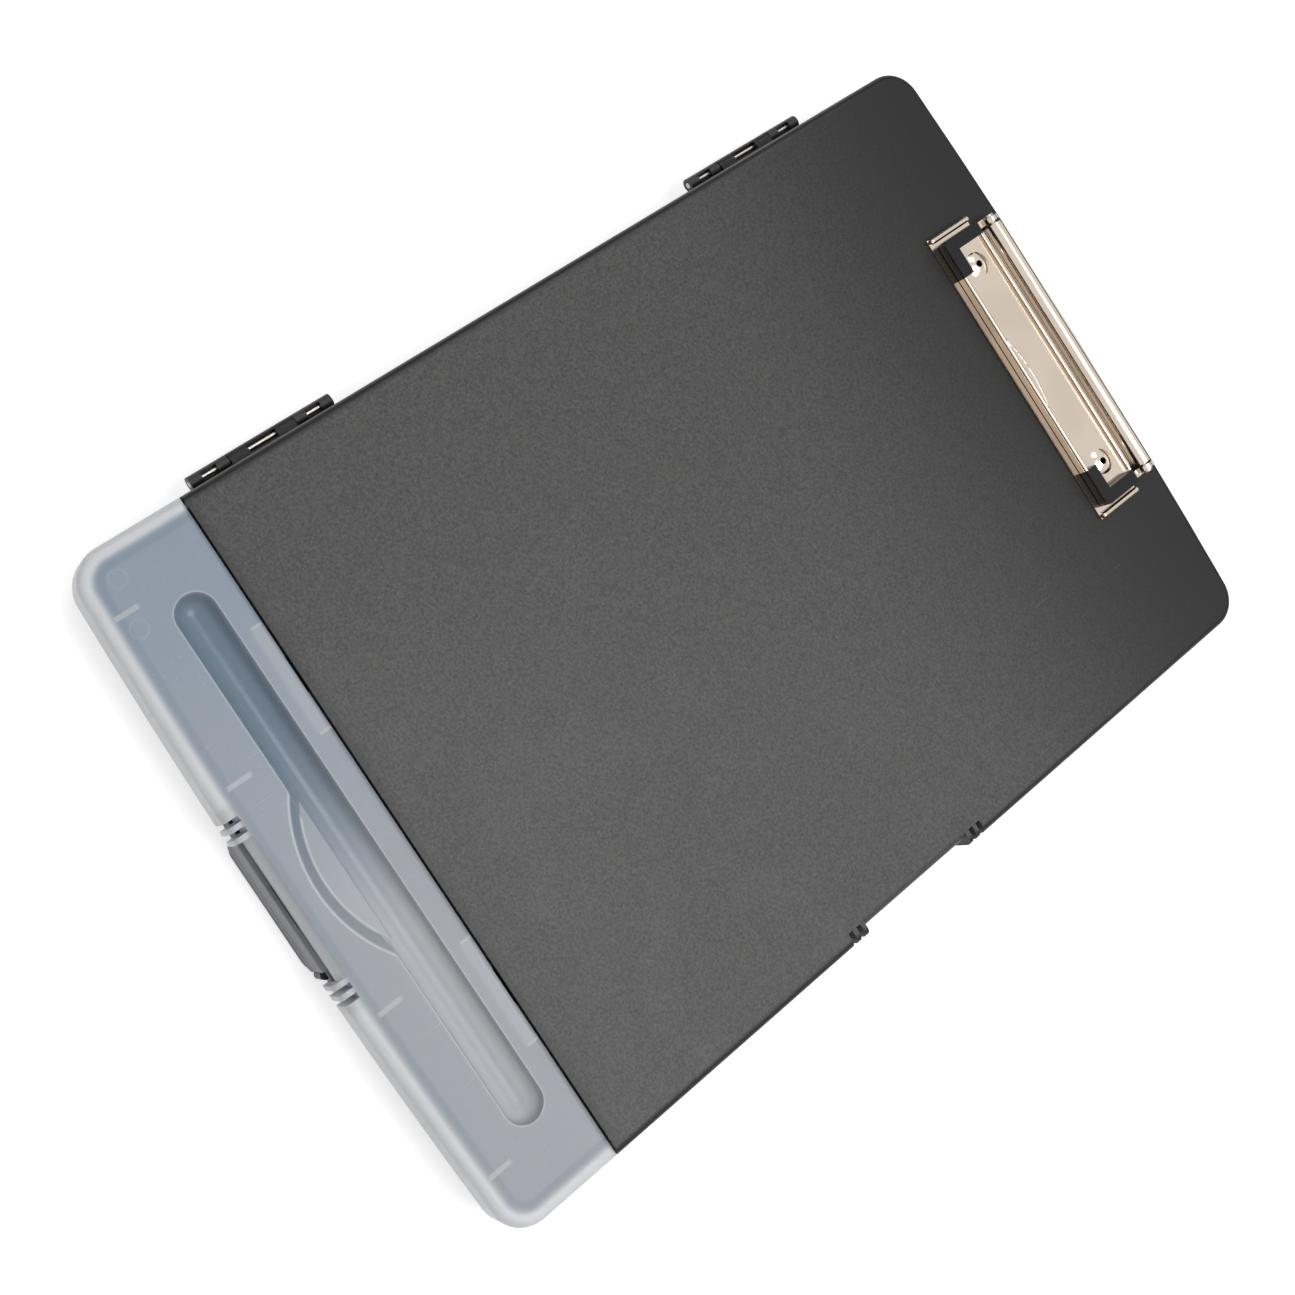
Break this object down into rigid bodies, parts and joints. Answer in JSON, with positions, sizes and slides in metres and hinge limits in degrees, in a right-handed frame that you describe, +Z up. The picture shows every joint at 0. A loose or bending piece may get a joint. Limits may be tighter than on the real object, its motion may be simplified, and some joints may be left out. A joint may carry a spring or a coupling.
{
  "type": "storage clipboard box",
  "caption": "Flat hinged document case with a writing lid, a low lever clip on top, a frosted pen lid with a groove, and a flap latch on each lid.",
  "frame": {"origin": "middle of the base's rest face, z = 0 on the surface it lies on", "axes": "+Z up through the lids, +Y from the pen end to the clip end, +X from the hinge side to the latch side"},
  "size_m": [0.2449, 0.3599, 0.0323],
  "materials": {
    "black_plastic": "fine matte grain",
    "dark_plastic": "satin",
    "frosted_plastic": "frosted translucent",
    "nickel_steel": "polished nickel plate",
    "pin_steel": "drawn wire"
  },
  "bodies": {
    "tray": {"base_tray": "black_plastic", "lower_hinge_pin": "pin_steel", "upper_hinge_pin": "pin_steel", "pen_hinge_pin_left": "pin_steel", "pen_hinge_pin_right": "pin_steel"},
    "writing_lid": {"main_lid": "black_plastic", "side_latch_pin": "pin_steel", "clip_plate": "nickel_steel", "clip_spring": "pin_steel", "clip_rivets": "nickel_steel", "rivet_washers": "pin_steel"},
    "pen_cover": {"pen_lid": "frosted_plastic", "end_latch_pin": "pin_steel"},
    "side_flap": {"side_latch": "dark_plastic"},
    "end_flap": {"end_latch": "frosted_plastic"},
    "clip_jaw": {"clip_lever": "nickel_steel", "clip_rod": "pin_steel", "clip_corner_left": "dark_plastic", "clip_corner_right": "dark_plastic"}
  },
  "joints": [
    {"name": "main_lid_hinge", "type": "hinge", "parent": "tray", "child": "writing_lid", "pos_m": [-0.1225, 0, 0.013], "axis": [0, -1, 0], "range_deg": [0, 180]},
    {"name": "pen_lid_hinge", "type": "hinge", "parent": "tray", "child": "pen_cover", "pos_m": [0, -0.1387, 0.023], "axis": [-1, 0, 0], "range_deg": [0, 95]},
    {"name": "side_latch_hinge", "type": "hinge", "parent": "writing_lid", "child": "side_flap", "pos_m": [0.1169, 0, 0.017], "axis": [0, -1, 0], "range_deg": [0, 110]},
    {"name": "end_latch_hinge", "type": "hinge", "parent": "pen_cover", "child": "end_flap", "pos_m": [0, -0.1769, 0.017], "axis": [-1, 0, 0], "range_deg": [0, 110]},
    {"name": "clip_lever_hinge", "type": "hinge", "parent": "writing_lid", "child": "clip_jaw", "pos_m": [0, 0.1703, 0.0287], "axis": [-1, 0, 0], "range_deg": [0, 50], "stiffness_Nm_per_rad": 0.35, "springref_deg": -34.38}
  ]
}
